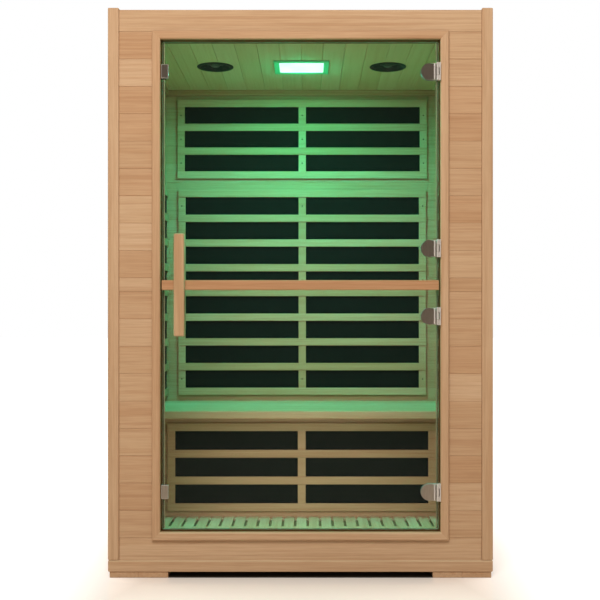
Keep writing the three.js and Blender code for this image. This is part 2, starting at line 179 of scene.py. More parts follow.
def hemlock(name, grain, tones=BOARD_TONES, board_mm=None, figure=1.0):
    material, tree, shader = new_material(name, Specular_IOR_Level=0.3)
    place = node(tree, "ShaderNodeTexCoord").outputs["Object"]
    luck = board_luck(tree, place, board_mm)
    jump = node(tree, "ShaderNodeMath", {1: PATTERN_JUMP}, {0: luck}, operation="MULTIPLY").outputs[0]
    moved = node(tree, "ShaderNodeVectorMath", links={0: place, 1: jump}, operation="ADD").outputs[0]

    def grain_noise(along_mm, across_mm, detail):
        return node(tree, "ShaderNodeTexNoise", {"Scale": 1.0, "Detail": detail, "Distortion": 0.3},
                    {"Vector": stretched(tree, moved, grain, along_mm, across_mm)}).outputs["Fac"]

    bands = grain_noise(BAND_RUN_MM, BAND_MM, 3.0)
    fibres = grain_noise(FIBRE_RUN_MM, FIBRE_MM, 2.0)
    clouds = grain_noise(CLOUD_RUN_MM, CLOUD_MM, 1.0)
    tone = ramp(tree, luck, [(n / len(tones), tone) for n, tone in enumerate(tones)])
    band_shade = ramp(tree, bands, [(0.34, "#DCC6B4"), (0.5, "#FFFFFF"), (0.66, "#E8D6C6")])
    fibre_shade = ramp(tree, fibres, [(0.35, "#D8C6B6"), (0.6, "#FFFFFF")])
    cloud_shade = ramp(tree, clouds, [(0.3, "#E6D8CB"), (0.7, "#FFFFFF")])
    banded = shade(tree, tone, band_shade, BAND_STRENGTH * figure)
    fibred = shade(tree, banded, fibre_shade, FIBRE_STRENGTH * figure)
    colour = shade(tree, fibred, cloud_shade, CLOUD_STRENGTH)
    rough = node(tree, "ShaderNodeMapRange", {"To Min": 0.5, "To Max": 0.68}, {"Value": fibres})
    bump = node(tree, "ShaderNodeBump", {"Strength": 0.12, "Distance": 0.0006}, {"Height": fibres})
    tree.links.new(colour, shader.inputs["Base Color"])
    tree.links.new(rough.outputs["Result"], shader.inputs["Roughness"])
    tree.links.new(bump.outputs["Normal"], shader.inputs["Normal"])
    return material


# %% [markdown]
# One timber gives the cabin several finishes. The grain follows the length of the board, so each
# direction has its own material. The ceiling is one mesh, so its boards are counted off across it
# instead of being islands. Seat and floor boards are picked pale; on the seat this is also a painted
# highlight for the light on its top. The rebate round the doorway and the deck under the floor are
# painted dark, as painted shade, and the door's rail and handle are warmer heartwood.

# %% Wood finishes
CEILING_BOARD_MM, CEILING_FIGURE = 81, 0.6
CEILING_TONES = ["#E8D2AC", "#EBD8B6", "#E5CDA4"]
PALE_TONES = ["#DCC3A0", "#E0CAA8", "#D8BD98"]
# The rebate and deck tones are painted shade: dark wood for the shadow in the rebate and in the floor gaps.
REBATE_SHADE_TONES = ["#805030", "#865634", "#784A2C"]
DECK_SHADE_TONES = ["#9A8260", "#A08866", "#947C5A"]
RAIL_TONES = ["#C69A73", "#CBA17B", "#C2956E"]
HANDLE_TONES = ["#CBA983", "#D0B08A", "#C8A57E"]
wood = {grain: hemlock(f"planed_hemlock_grain_{grain}", grain) for grain in AXES}
wood["ceiling"] = hemlock("planed_hemlock_ceiling", "y", CEILING_TONES, CEILING_BOARD_MM, CEILING_FIGURE)
for grain in ("x", "y"):
    wood[f"pale_{grain}"] = hemlock(f"planed_pale_hemlock_{grain}", grain, PALE_TONES)
wood["rebate"] = hemlock("hemlock_rebate_painted_shade", "z", REBATE_SHADE_TONES)
wood["deck"] = hemlock("hemlock_deck_painted_shade", "y", DECK_SHADE_TONES)
wood["rose_x"] = hemlock("planed_rose_hemlock_rail", "x", RAIL_TONES)
wood["rose_z"] = hemlock("planed_rose_hemlock_handle", "z", HANDLE_TONES)
print("wood finishes:", sorted(wood))

# %% [markdown]
# The other finishes share one recipe: a noise pattern of a real size picks between two tones,
# spreads the roughness and lifts a slight relief. Stretching the pattern turns it into brushing.

# %% Surface recipe


def noise_at(tree, place, scale, detail=2.0):
    moved = node(tree, "ShaderNodeMapping", {"Scale": scale}, {"Vector": place}).outputs["Vector"]
    noise = node(tree, "ShaderNodeTexNoise", {"Scale": 1.0, "Detail": detail}, {"Vector": moved})
    return noise.outputs["Fac"]


def surface(name, tones, size_mm, rough, bump_mm, stretch=(1, 1, 1), **constants):
    material, tree, shader = new_material(name, **constants)
    place = node(tree, "ShaderNodeTexCoord").outputs["Object"]
    pattern = noise_at(tree, place, [1000 / size_mm / s for s in stretch])
    tree.links.new(ramp(tree, pattern, [(0.35, tones[0]), (0.65, tones[1])]), shader.inputs["Base Color"])
    spread = node(tree, "ShaderNodeMapRange", {"To Min": rough[0], "To Max": rough[1]}, {"Value": pattern})
    tree.links.new(spread.outputs["Result"], shader.inputs["Roughness"])
    bump = node(tree, "ShaderNodeBump", {"Strength": 0.3, "Distance": bump_mm * MM}, {"Height": pattern})
    tree.links.new(bump.outputs["Normal"], shader.inputs["Normal"])
    return material


# %% [markdown]
# The heaters are carbon film pressed into a black laminate. The face is nearly black and matt, and
# shows a fine woven texture, drawn here at 4 mm so that it can be seen at all.
# The metal is satin nickel plate over brass: soft reflections with fine vertical brushing. Its
# rims, folds and edges are painted paler and mirror less, so they are less metallic: a painted highlight.
# Speakers, magnets and control panel are moulded plastic with a fine spark texture; the speaker caps
# are a paler grey, a painted highlight on their domes. The power unit is zinc-plated sheet, whose
# crystals show as grey flakes.

# %% Carbon laminate, nickel, plastic and zinc
WEAVE_MM, BRUSH_MM, SPARK_MM, FLAKE_MM = 4, 0.9, 1.2, 14
BRUSHED = (1, 1, 30)
WOVEN = (3, 3, 1)
carbon = surface("pressed_carbon_laminate", ("#0F1412", "#171C19"), WEAVE_MM, (0.5, 0.62), 0.03, WOVEN,
                 Specular_IOR_Level=0.06)
nickel = surface("satin_nickel_plate", ("#ACA094", "#BAAEA2"), BRUSH_MM, (0.26, 0.4), 0.02, BRUSHED,
                 Metallic=1.0)
# The pale nickels are painted highlights on folds, knuckles, plates, nuts and rims.
highlight_nickel = surface("nickel_painted_highlight", ("#D8CFC6", "#E6DFD8"), BRUSH_MM, (0.2, 0.3), 0.01, BRUSHED,
                        Metallic=0.35)
rim_highlight_nickel = surface("nickel_rim_painted_highlight", ("#CFC6BC", "#DDD5CC"), BRUSH_MM, (0.3, 0.4), 0.01, Metallic=0.1)
plastic = surface("moulded_black_abs", ("#17181A", "#242528"), SPARK_MM, (0.45, 0.6), 0.08)
cap_highlight_plastic = surface("grey_abs_cap_painted_highlight", ("#4A4F4B", "#585D59"), SPARK_MM, (0.4, 0.55), 0.05)
rubber = surface("moulded_black_rubber", ("#101112", "#1A1B1C"), SPARK_MM, (0.6, 0.75), 0.05)
zinc = surface("zinc_plated_sheet", ("#A9ACAE", "#C2C5C7"), FLAKE_MM, (0.32, 0.48), 0.02, Metallic=0.5)
nail = surface("blackened_steel_pin", ("#3A342C", "#4A4238"), SPARK_MM, (0.45, 0.6), 0.02, Metallic=0.8)
hard_finishes = (carbon, nickel, highlight_nickel, rim_highlight_nickel, plastic, cap_highlight_plastic, rubber, zinc, nail)
print("hard finishes:", [material.name for material in hard_finishes])

# %% [markdown]
# The door is clear tempered float glass. A real refracting pane would keep lamp light out of the
# cabin in a path tracer, so the pane is a thin film with a faint grey tint, and its cover grows
# towards grazing angles, as the Fresnel law says. The node would see total reflection on the far
# face, which a thin film doesn't have, so the index is turned over on faces seen from behind.
# The polished edges are seen through 900 mm of glass, so they look green.

# %% Tempered glass
GLASS_IOR = 1.52
STREAK_MM = 333
GLASS_SHINE, GLASS_TINT, STREAK_COVER = 0.85, 0.09, 0.02
glass, tree, shader = new_material("tempered_float_glass", Roughness=0.02, IOR=GLASS_IOR)
shader.inputs["Base Color"].default_value = linear("#1A221D")
behind = node(tree, "ShaderNodeNewGeometry").outputs["Backfacing"]
face_ior = node(tree, "ShaderNodeMapRange", {"To Min": GLASS_IOR, "To Max": 1 / GLASS_IOR}, {"Value": behind})
fresnel = node(tree, "ShaderNodeFresnel", links={"IOR": face_ior.outputs["Result"]}).outputs[0]
place = node(tree, "ShaderNodeTexCoord").outputs["Object"]
streaks = noise_at(tree, place, [1000 / STREAK_MM] * 3)
cover = node(tree, "ShaderNodeMath", {1: STREAK_COVER}, {0: streaks}, operation="MULTIPLY").outputs[0]
shine = node(tree, "ShaderNodeMath", {1: GLASS_SHINE, 2: GLASS_TINT}, {0: fresnel}, operation="MULTIPLY_ADD")
alpha = node(tree, "ShaderNodeMath", links={0: shine.outputs[0], 1: cover}, operation="ADD")
tree.links.new(alpha.outputs[0], shader.inputs["Alpha"])
glass_edge = surface("polished_glass_edge", ("#8FB79A", "#B4D2B6"), 40, (0.08, 0.16), 0.01, Alpha=0.85)
print("glass finishes:", glass.name, glass_edge.name)

# %% [markdown]
# The ceiling light is an opal acrylic lens in a frosted acrylic frame. Both are cast and glow from
# within: the lens nearly white, the frame in the green of the lamps behind it.
# The edge seals are extruded PVC: their dark foot is painted shade and their pale lip a painted highlight.
# The display of the control panel is a glossy black window.

# %% Acrylic, PVC and the display
CLOUDING_MM = 71
SEAL_STREAK_MM = 30
opal, tree, shader = new_material("opal_acrylic_lens", Roughness=0.35, IOR=1.49, Emission_Strength=1.6)
shader.inputs["Base Color"].default_value = linear("#F2FFF6")
place = node(tree, "ShaderNodeTexCoord").outputs["Object"]
clouding = noise_at(tree, place, [1000 / CLOUDING_MM] * 3)
tree.links.new(ramp(tree, clouding, [(0.3, "#BFFFD6"), (0.7, "#E6FFF0")]), shader.inputs["Emission Color"])
frost = surface("frosted_acrylic_frame", ("#6FC79A", "#7FD3A8"), SPARK_MM, (0.4, 0.5), 0.02,
                Emission_Color=linear("#20C070"), Emission_Strength=0.16)
# The dark seal finish is painted shade, and the pale lip finish a painted highlight.
seal_shade = surface("dark_pvc_seal_painted_shade", ("#5A4628", "#665030"), SEAL_STREAK_MM, (0.3, 0.45), 0.02, (1, 1, 8),
               Alpha=0.85)
lip_highlight = surface("pale_pvc_lip_painted_highlight", ("#B4B48A", "#C4C29A"), SEAL_STREAK_MM, (0.2, 0.35), 0.02, (1, 1, 8),
              Alpha=0.6)
display = surface("glossy_screen_window", ("#0A0C10", "#10131A"), 25, (0.05, 0.1), 0.0)
print("clear finishes:", [material.name for material in (opal, frost, seal_shade, lip_highlight, display)])

# %% [markdown]
# Nearly everything in the cabin is a sawn and planed bar, so one function makes a bar with eased
# edges, one makes a flat plate from an outline, and one turns a profile round an axis.
# A last one hands the finished mesh to Blender, lets it ride on its body and hides the solids it
# stands for.

# %% Mesh helpers
EASE = 1.6 * MM
FLUSH = 0.1 * MM


def paint_new(bm, old, paint):
    for face in bm.faces:
        if face not in old:
            face.material_index = paint


def add_bar(bm, lo, hi, ease=EASE, paint=0):
    old = set(bm.faces)
    corners = bmesh.ops.create_cube(bm, size=1)["verts"]
    for corner in corners:
        corner.co = Vector([lo[k] + (corner.co[k] + 0.5) * (hi[k] - lo[k]) for k in range(3)])
    edges = list({edge for corner in corners for edge in corner.link_edges})
    bmesh.ops.bevel(bm, geom=edges, offset=ease, segments=2, profile=0.5, affect="EDGES")
    paint_new(bm, old, paint)


def add_plate(bm, outline, place, thickness, ease=EASE, paint=0, mitred=False):
    old = set(bm.faces)
    rings = [[bm.verts.new(place @ Vector((u, v, w))) for u, v in outline] for w in (0, thickness)]
    count = len(outline)
    made = [bm.faces.new(rings[0][::-1]), bm.faces.new(rings[1])]
    for n in range(count):
        m = (n + 1) % count
        made.append(bm.faces.new((rings[0][n], rings[0][m], rings[1][m], rings[1][n])))
    rim = list({edge for face in made[:2] for edge in face.edges})
    if mitred:
        runs = [edge.verts[0].co - edge.verts[1].co for edge in rim]
        rim = [edge for edge, run in zip(rim, runs) if min(abs(run.x), abs(run.z)) < FLUSH]
    bmesh.ops.bevel(bm, geom=rim, offset=ease, segments=2, profile=0.5, affect="EDGES")
    paint_new(bm, old, paint)


def add_turned(bm, place, profile, steps=48, paint=0):
    old = set(bm.faces)
    rings = []
    for radius, height in profile:
        if radius == 0:
            rings.append([bm.verts.new(place @ Vector((0, 0, height)))])
            continue
        angles = [2 * math.pi * n / steps for n in range(steps)]
        points = [Vector((radius * math.cos(a), radius * math.sin(a), height)) for a in angles]
        rings.append([bm.verts.new(place @ point) for point in points])
    for one, two in zip(rings, rings[1:]):
        for n in range(steps):
            m = (n + 1) % steps
            corners = [one[n % len(one)], one[m % len(one)], two[m % len(two)], two[n % len(two)]]
            bm.faces.new(list(dict.fromkeys(corners)))
    paint_new(bm, old, paint)


def facing(direction):
    return Vector(direction).to_track_quat("Z", "Y").to_matrix().to_4x4()


def piece(name, bm, materials, body, slot, *nodes, smooth=None):
    bmesh.ops.recalc_face_normals(bm, faces=bm.faces)
    mesh = bpy.data.meshes.new(name)
    bm.to_mesh(mesh)
    bm.free()
    for material in materials:
        mesh.materials.append(material)
    if smooth:
        mesh.shade_smooth()
        mesh.set_sharp_from_angle(angle=math.radians(smooth))
    made = bpy.data.objects.new(name, mesh)
    scene.collection.objects.link(made)
    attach(made, body)
    if nodes:
        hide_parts(*nodes)
    return made


# %% [markdown]
# The walls are tongue-and-groove boards on both faces of a hidden core. Nine boards lie above and
# nine below one narrow board, and a single board runs from post to post at the top and bottom.
# Loose bars with eased edges leave the small V at every joint, as real boards do.

# %% Boarded walls
BOARD_MM, NARROW_MM, LOWEST_JOINT_MM, BOARDS = 92.4, 46.5, 135.0, 9
INSIDE_BOARD_MM, FLOOR_MM, INSIDE_JOINTS = 82.0, 71.0, 22
SKIN, WALL_EASE, SLIVER = 14 * MM, 1.9 * MM, 4 * MM
above = LOWEST_JOINT_MM + BOARDS * BOARD_MM + NARROW_MM
outside_joints = [LOWEST_JOINT_MM + n * BOARD_MM for n in range(BOARDS + 1)]
outside_joints += [above + n * BOARD_MM for n in range(BOARDS + 1)]
inside_joints = [FLOOR_MM + n * INSIDE_BOARD_MM for n in range(1, INSIDE_JOINTS + 1)]


def levels(bottom, top, joints_mm):
    inner = [j * MM for j in joints_mm if bottom + SLIVER < j * MM < top - SLIVER]
    return [bottom] + inner + [top]


def add_boards(bm, along, span, deep, heights, ease=WALL_EASE):
    for low, high in zip(heights, heights[1:]):
        lo = [span[0], deep[0], low] if along == "x" else [deep[0], span[0], low]
        hi = [span[1], deep[1], high] if along == "x" else [deep[1], span[1], high]
        add_bar(bm, lo, hi, ease)


def add_wall(bm, box, along, outer_low, corner=0.0):
    lo, hi = box
    run, across = (0, 1) if along == "x" else (1, 0)
    span = (lo[run], hi[run])
    inner_span = (lo[run] + corner, hi[run] - corner)
    first = (lo[across], lo[across] + SKIN)
    last = (hi[across] - SKIN, hi[across])
    outer, inner = (first, last) if outer_low else (last, first)
    add_boards(bm, along, span, outer, levels(lo.z, hi.z, outside_joints))
    add_boards(bm, along, inner_span, inner, levels(lo.z, hi.z, inside_joints))
    add_boards(bm, along, inner_span, (first[1], last[0]), [lo.z, hi.z])


print("wall joints outside:", len(outside_joints), "inside:", len(inside_joints))

# %% [markdown]
# The front wall is the two boarded sides, a header and a sill, all in one mesh. The lowest board
# sits 2 mm back and reaches a little behind the plinth, so the plinth's rounded edge shows.
# The faces that line the doorway are painted dark brown, as painted shade in the rebate, found by where they
# lie.

# %% Front wall
REBATE_SKIN, TONGUE, SET_BACK = 1 * MM, 3 * MM, 2 * MM
left_box, right_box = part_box("front_wall_left"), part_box("front_wall_right")
header_box, sill_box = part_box("front_header"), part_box("front_sill")
bm = bmesh.new()
top_joint = (above + BOARDS * BOARD_MM) * MM
low_joint = LOWEST_JOINT_MM * MM
for box in (left_box, right_box):
    short = (Vector((box[0].x, box[0].y, low_joint)), Vector((box[1].x, box[1].y, top_joint)))
    add_wall(bm, short, "x", True)
for box, low, high in ((header_box, header_box[0].z, top_joint), (sill_box, low_joint, sill_box[1].z)):
    add_bar(bm, (box[0].x, box[0].y, low), (box[1].x, box[1].y, high), WALL_EASE)
for low, high, back in ((left_box[0].z - TONGUE, low_joint, SET_BACK), (top_joint, left_box[1].z, 0)):
    full_lo = (left_box[0].x, left_box[0].y + back, low)
    add_bar(bm, full_lo, (right_box[1].x, right_box[1].y, high), WALL_EASE)
doorway_half, doorway_low, doorway_high = header_box[1].x, sill_box[1].z, header_box[0].z
bm.normal_update()
# Faces lining the doorway get the dark rebate wood: painted shade.
for face in bm.faces:
    centre = face.calc_center_median()
    in_side = abs(abs(centre.x) - doorway_half) < REBATE_SKIN and doorway_low < centre.z < doorway_high
    in_end = min(abs(centre.z - doorway_low), abs(centre.z - doorway_high)) < REBATE_SKIN
    if in_side or (in_end and abs(centre.x) < doorway_half):
        face.material_index = 1
front_boards = piece("front_boards", bm, [wood["x"], wood["rebate"]], "cabin", "hemlock",
                     "front_wall_left", "front_wall_right", "front_header", "front_sill")
print("doorway in metres:", round(2 * doorway_half, 3), "by", round(doorway_high - doorway_low, 3))

# %% [markdown]
# The side walls stop short of the front and back walls inside the corners, so that boards never
# share the same space. The outside skin still runs from post to post.

# %% Side and back walls
CORNER = 15.3 * MM
for side, outer_low in (("left", True), ("right", False)):
    bm = bmesh.new()
    add_wall(bm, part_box(f"side_wall_{side}"), "y", outer_low, CORNER)
    piece(f"side_boards_{side}", bm, [wood["y"]], "cabin", "hemlock", f"side_wall_{side}")
bm = bmesh.new()
add_wall(bm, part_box("back_wall"), "x", False)
back_boards = piece("back_boards", bm, [wood["x"]], "cabin", "hemlock", "back_wall")
print("back wall faces:", len(back_boards.data.polygons))

# %% [markdown]
# Posts, plinth and feet are plain planed timber. The plinth is a frame of boards round a deck that
# only shows in the gaps of the floor; the deck is painted dark wood, as painted shade in those gaps.
# Its upper front edge is painted in pale wood, a painted highlight that reads as a paler line.
# Each foot is two boards side by side.

# %% Posts, plinth and feet
POST_EASE, FOOT_EASE = 3 * MM, 2 * MM
HIGHLIGHT_TILT = 0.3
for corner in ("front_left", "front_right", "back_left", "back_right"):
    bm = bmesh.new()
    add_bar(bm, *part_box(f"post_{corner}"), ease=POST_EASE)
    piece(f"post_timber_{corner}", bm, [wood["z"]], "cabin", "hemlock", f"post_{corner}")


def paint_upper_edge_highlight(bm, paint):
    # Faces that turn up and forward get the pale wood: a painted highlight on the upper edges.
    bm.normal_update()
    for face in bm.faces:
        if face.normal.z > HIGHLIGHT_TILT and face.normal.y < -HIGHLIGHT_TILT:
            face.material_index = paint


PLINTH_BOARD, PLINTH_EASE = 24 * MM, 4.5 * MM
lo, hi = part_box("base_plinth")
bm = bmesh.new()
for y0, y1 in ((lo.y, lo.y + PLINTH_BOARD), (hi.y - PLINTH_BOARD, hi.y)):
    add_bar(bm, (lo.x, y0, lo.z), (hi.x, y1, hi.z), PLINTH_EASE)
for x0, x1 in ((lo.x, lo.x + PLINTH_BOARD), (hi.x - PLINTH_BOARD, hi.x)):
    add_bar(bm, (x0, lo.y + PLINTH_BOARD, lo.z), (x1, hi.y - PLINTH_BOARD, hi.z), PLINTH_EASE)
inset = Vector((PLINTH_BOARD, PLINTH_BOARD, 0))
# The deck is painted in dark wood: painted shade in the gaps of the floor.
add_bar(bm, lo + inset, hi - inset, paint=1)
# The upper front edge of the plinth gets the pale wood, a painted highlight.
paint_upper_edge_highlight(bm, 2)
piece("plinth_boards", bm, [wood["x"], wood["deck"], wood["pale_x"]], "cabin", "hemlock", "base_plinth")
for side in ("left", "right"):
    bm = bmesh.new()
    lo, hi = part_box(f"foot_{side}")
    middle = (lo.x + hi.x) / 2
    add_bar(bm, lo, (middle, hi.y, hi.z), FOOT_EASE)
    add_bar(bm, (middle, lo.y, lo.z), hi, FOOT_EASE)
    piece(f"foot_boards_{side}", bm, [wood["y"]], "cabin", "hemlock", f"foot_{side}")

# %% [markdown]
# The trim round the doorway is four strips with mitred ends, so their grain turns the corner.
# Long edges are well rounded and the mitres stay sharp, so only straight edges are bevelled.

# %% Door trim
TRIM_EASE = 5 * MM


def trim_strip(side):
    lo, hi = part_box(f"door_trim_{side}")
    left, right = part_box("door_trim_left")[0].x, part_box("door_trim_right")[1].x
    bottom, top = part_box("door_trim_bottom")[0].z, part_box("door_trim_top")[1].z
    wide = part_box("door_trim_left")[1].x - left
    in_left, in_right, in_bottom, in_top = left + wide, right - wide, bottom + wide, top - wide
    corners = {
        "bottom": [(left, bottom), (right, bottom), (in_right, in_bottom), (in_left, in_bottom)],
        "top": [(left, top), (in_left, in_top), (in_right, in_top), (right, top)],
        "left": [(left, bottom), (in_left, in_bottom), (in_left, in_top), (left, top)],
        "right": [(right, bottom), (right, top), (in_right, in_top), (in_right, in_bottom)],
    }
    upright = Matrix(((1, 0, 0, 0), (0, 0, -1, hi.y), (0, 1, 0, 0), (0, 0, 0, 1)))
    bm = bmesh.new()
    add_plate(bm, corners[side], upright, hi.y - lo.y, TRIM_EASE, mitred=True)
    grain = "x" if side in ("top", "bottom") else "z"
    # The upper edges of the bottom strip get pale wood: a painted highlight.
    if side == "bottom":
        paint_upper_edge_highlight(bm, 1)
    finishes = [wood[grain], wood["pale_x"]]
    return piece(f"trim_strip_{side}", bm, finishes, "cabin", "hemlock", f"door_trim_{side}")


trims = [trim_strip(side) for side in ("top", "bottom", "left", "right")]
print("trim strips:", len(trims))

# %% [markdown]
# The floor is a loose duckboard: slats from front to back, nailed to cross battens, with gaps that
# let sweat through. Three battens lie under the slats, and one is let in nearly flush with them,
# which closes the gaps in front of the bench.

# %% Duckboard
SLATS_EACH_SIDE, SLAT_PITCH, SLAT_GAP, SLAT_THICK = 12, 48.6 * MM, 10 * MM, 5.5 * MM
SLAT_EASE, BATTEN_EASE = 1.2 * MM, 0.6 * MM
BATTEN_MM = 36
BATTEN_DROPS_MM = {60: 5.5, 255: 5.5, 448: 0.8, 633: 5.5}
lo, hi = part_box("duckboard")
bm = bmesh.new()
slat_half = (SLAT_PITCH - SLAT_GAP) / 2
for n in range(-SLATS_EACH_SIDE, SLATS_EACH_SIDE + 1):
    x0, x1 = max(n * SLAT_PITCH - slat_half, lo.x), min(n * SLAT_PITCH + slat_half, hi.x)
    add_bar(bm, (x0, lo.y, hi.z - SLAT_THICK), (x1, hi.y, hi.z), SLAT_EASE)
for depth, drop in BATTEN_DROPS_MM.items():
    y = front_face + depth * MM
    add_bar(bm, (lo.x, y, lo.z), (hi.x, min(y + BATTEN_MM * MM, hi.y), hi.z - drop * MM), BATTEN_EASE)
piece("duckboard_slats", bm, [wood["pale_y"]], "cabin", "hemlock", "duckboard")
print("duckboard slats:", 2 * SLATS_EACH_SIDE + 1)

# %% [markdown]
# The bench is four pale boards edge to edge behind a rounded nosing board; their paler wood is a
# painted highlight for the light that falls on the seat top. A boarded panel carries its front, and a
# batten on the back wall carries its rear.

# %% Bench
BENCH_BOARDS, NOSING, NOSING_DROP = 4, 32 * MM, 8 * MM
NOSING_EASE, SEAT_EASE, LEDGER_EASE = 3 * MM, 1.4 * MM, 2 * MM
lo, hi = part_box("bench_seat")
bm = bmesh.new()
add_bar(bm, lo, (hi.x, lo.y + NOSING, hi.z), NOSING_EASE)
board = (hi.y - lo.y - NOSING) / BENCH_BOARDS
for n in range(BENCH_BOARDS):
    y = lo.y + NOSING + n * board
    # The seat boards get the pale wood: a painted highlight on the seat.
    add_bar(bm, (lo.x, y, lo.z + NOSING_DROP), (hi.x, y + board, hi.z), SEAT_EASE, paint=1)
piece("bench_boards", bm, [wood["x"], wood["pale_x"]], "cabin", "hemlock", "bench_seat")
bm = bmesh.new()
lo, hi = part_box("bench_riser")
add_boards(bm, "x", (lo.x, hi.x), (lo.y, hi.y), levels(lo.z, hi.z, inside_joints))
piece("riser_boards", bm, [wood["x"]], "cabin", "hemlock", "bench_riser")
bm = bmesh.new()
add_bar(bm, *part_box("bench_ledger"), ease=LEDGER_EASE)
piece("ledger_batten", bm, [wood["x"]], "cabin", "hemlock", "bench_ledger")
print("bench boards:", BENCH_BOARDS)

# %% [markdown]
# Each heater hides behind a guard of upright stiles with thin cross rails nailed over their front,
# so that skin never meets the hot panel. Small screws through the stiles hold it to the wall.
# The calf guard hangs on its panel from behind and shows none. The rails of the side guards run on
# past their stiles into the back corner.
# One function builds all five guards: it only needs to know which way the guard faces.

# %% Heater guards
GUARD_BAR, GUARD_EASE, STILE_SHARE, SIDE_STILE_INSET = 32 * MM, 1.8 * MM, 0.6, 140 * MM
SCREW = [(r * MM, h * MM) for r, h in ((0, 0.6), (2.1, 0.6), (3, 0), (3, -2), (0, -2))]


def finish_node(name, material):
    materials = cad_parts[name].data.materials
    materials.clear()
    materials.append(material)


def guard_boards(name, along, facing_low, rows, columns, screwed):
    lo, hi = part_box(f"{name}_guard")
    run, across = (0, 1) if along == "x" else (1, 0)
    deep = hi[across] - lo[across]
    split = lo[across] + deep * (1 - STILE_SHARE if facing_low else STILE_SHARE)
    back = (split, hi[across]) if facing_low else (lo[across], split)
    front = (lo[across], split) if facing_low else (split, hi[across])
    out = -1 if facing_low else 1
    bm = bmesh.new()
    inset = SIDE_STILE_INSET if along == "y" else 0
    column_pitch = (hi[run] - lo[run] - 2 * inset - GUARD_BAR) / columns
    row_pitch = (hi.z - lo.z - GUARD_BAR) / rows

    def corner(along_at, across_at, z):
        return Vector((along_at, across_at, z)) if along == "x" else Vector((across_at, along_at, z))

    for row in range(rows + 1):
        z = lo.z + row * row_pitch
        add_bar(bm, corner(lo[run], front[0], z), corner(hi[run], front[1], z + GUARD_BAR), GUARD_EASE)
    for column in range(columns + 1):
        u = lo[run] + inset + column * column_pitch
        add_bar(bm, corner(u, back[0], lo.z), corner(u + GUARD_BAR, back[1], hi.z), GUARD_EASE)
        for row in sorted({0, rows // 2, rows - 1}) if screwed else ():
            spot = corner(u + GUARD_BAR / 2, split, lo.z + (row + 0.5) * row_pitch + GUARD_BAR / 2)
            add_turned(bm, Matrix.Translation(spot) @ facing(corner(0, out, 0)), SCREW, 14, paint=1)
    piece(f"{name}_guard_bars", bm, [wood[along], nail], "cabin", "hemlock", f"{name}_guard")


for name, along, facing_low, rows, columns in (
        ("upper_back", "x", True, 3, 2), ("lower_back", "x", True, 8, 2), ("calf", "x", True, 3, 2),
        ("left", "y", False, 8, 1), ("right", "y", True, 8, 1)):
    guard_boards(name, along, facing_low, rows, columns, screwed=name != "calf")
    finish_node(f"{name}_heater", carbon)
print("guards made for five heaters")

# %% [markdown]
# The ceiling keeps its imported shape, with its grooves and its holes for the fittings. The cornice
# that hides the joint with the walls is eased timber.

# %% Ceiling and cornice
CORNICE_EASE = 4 * MM
finish_node("roof_panel", wood["ceiling"])
for side, grain in (("back", "x"), ("left", "y"), ("right", "y")):
    bm = bmesh.new()
    add_bar(bm, *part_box(f"cornice_{side}"), ease=CORNICE_EASE)
    piece(f"cornice_strip_{side}", bm, [wood[grain]], "cabin", "hemlock", f"cornice_{side}")

ceiling_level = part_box("roof_panel")[0].z
print("ceiling level:", round(ceiling_level, 3))

# %% [markdown]
# A speaker is round, so it is one profile turned about its axis: a flat rim under the ceiling, a
# cone that sinks into it and a cap in the middle. The profile is in millimetres from the ceiling.

# %% Speakers
RIM_MM, CAP_MM, SPEAKER_STEPS = 72, 19, 56
SPEAKER_PROFILE = [
    (0, -1), (10, -1.5), (16, 1), (CAP_MM, 5), (22, 9), (46, 14), (52, 9), (56, -1), (58, -4), (60, -5),
    (66, -5), (70, -4), (RIM_MM, -2), (RIM_MM, -0.3), (61, -0.3), (61, 18), (30, 34), (0, 34)]


def in_metres(profile):
    return [(radius * MM, height * MM) for radius, height in profile]


for side in ("left", "right"):
    lo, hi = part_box(f"{side}_speaker")
    place = Matrix.Translation(((lo.x + hi.x) / 2, (lo.y + hi.y) / 2, ceiling_level))
    bm = bmesh.new()
    add_turned(bm, place, in_metres(SPEAKER_PROFILE), SPEAKER_STEPS)
    # The cap in the middle is painted a paler grey: a painted highlight on the dome.
    for face in bm.faces:
        reach = face.calc_center_median() - place.translation
        face.material_index = 1 if reach.to_2d().length < CAP_MM * MM and reach.z < CAP_MM * MM else 0
    finishes = [plastic, cap_highlight_plastic]
    piece(f"{side}_speaker_unit", bm, finishes, "cabin", "black_plastic", f"{side}_speaker", smooth=40)
print("speaker rim across, in mm:", 2 * RIM_MM)

# %% [markdown]
# The colour light is a frosted frame round an opal lens, both lit from within. The lens is open to
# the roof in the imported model, so its upper faces become the black tray that closes the fitting.

# %% Ceiling light
FRAME_EASE, LENS_EASE, TRAY_TURN = 1.5 * MM, 2.5 * MM, 0.3
lo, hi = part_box("light_frame")
lens_lo, lens_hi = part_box("light_diffuser")
bm = bmesh.new()
for x0, x1 in ((lo.x, lens_lo.x), (lens_hi.x, hi.x)):
    add_bar(bm, (x0, lo.y, lo.z), (x1, hi.y, hi.z), FRAME_EASE)
for y0, y1 in ((lo.y, lens_lo.y), (lens_hi.y, hi.y)):
    add_bar(bm, (lens_lo.x, y0, lo.z), (lens_hi.x, y1, hi.z), FRAME_EASE)
piece("light_frame_strips", bm, [frost], "cabin", "diffuser", "light_frame")
bm = bmesh.new()
add_bar(bm, lens_lo, lens_hi, LENS_EASE)
bm.normal_update()
for face in bm.faces:
    face.material_index = 1 if face.normal.z > TRAY_TURN else 0
piece("light_lens", bm, [opal, plastic], "cabin", "diffuser", "light_diffuser")
print("lens in metres:", [round(size, 3) for size in lens_hi - lens_lo])

# %% [markdown]
# The door leaf is one pane with ground and polished edges, which get their own greener finish.
# A wooden rail crosses it, and the handle is a flat bar with well-rounded edges on the rail.

